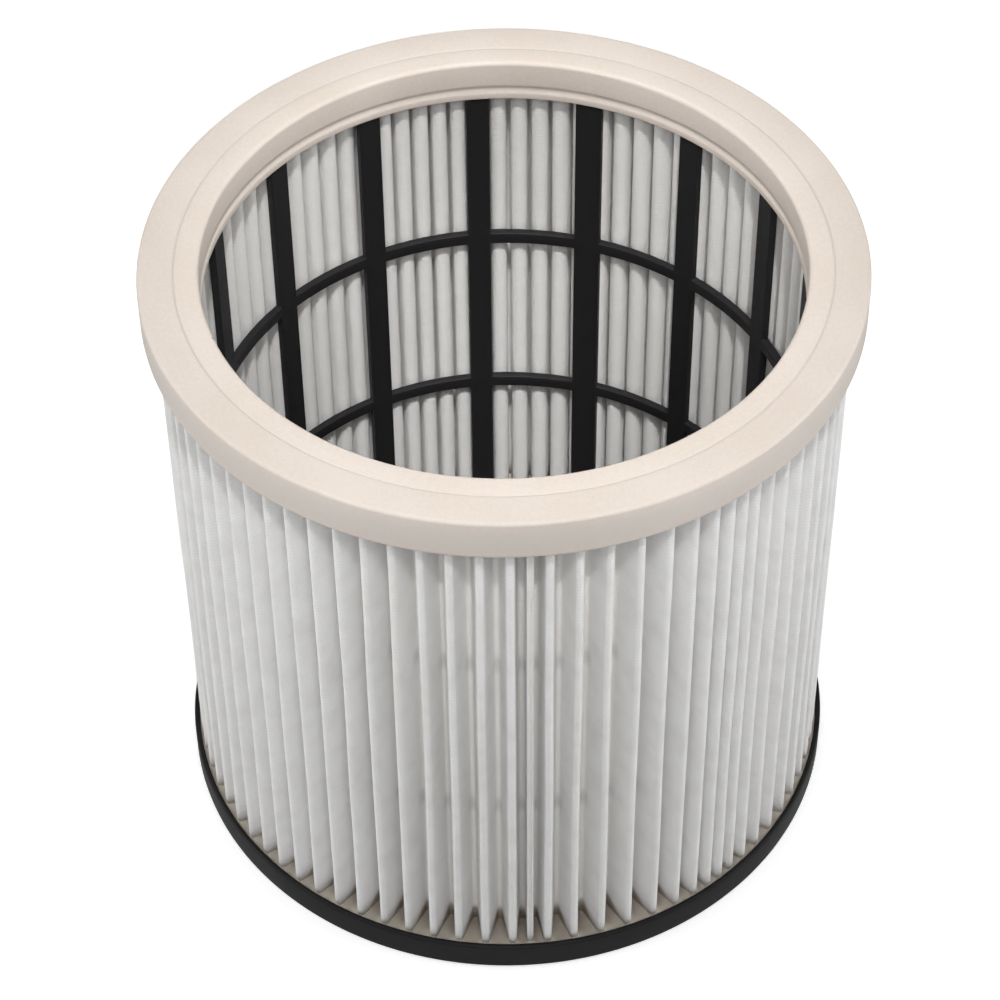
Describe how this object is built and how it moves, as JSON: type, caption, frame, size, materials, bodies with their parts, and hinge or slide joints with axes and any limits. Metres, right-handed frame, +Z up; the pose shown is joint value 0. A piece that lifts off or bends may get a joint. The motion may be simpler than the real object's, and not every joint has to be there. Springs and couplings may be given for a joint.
{
  "type": "pleated filter element",
  "caption": "Cylindrical pleated cartridge filter with a soft seal ring at the open end, an inner support cage and a closed end cap.",
  "frame": {"origin": "centre of the end cap's underside, which the element stands on", "axes": "+Z up along the element's axis, from the closed end cap to the open seal ring; -Y towards the side seam, which lies a few degrees towards +X"},
  "size_m": [0.216, 0.216, 0.2095],
  "materials": {
    "ring_foam": "ivory cast polyurethane foam with a fine satin skin",
    "media": "white spunbond polyester sheet with fine embossed rows, folded into pleats",
    "cage_plastic": "black moulded plastic, satin",
    "potting_resin": "beige cured adhesive",
    "cap_plastic": "black moulded plastic, fine satin grain"
  },
  "bodies": {
    "root": {"seal_ring": "ring_foam", "pleated_media": "media", "inner_cage": "cage_plastic", "potting": "potting_resin", "end_cap": "cap_plastic"}
  },
  "joints": []
}
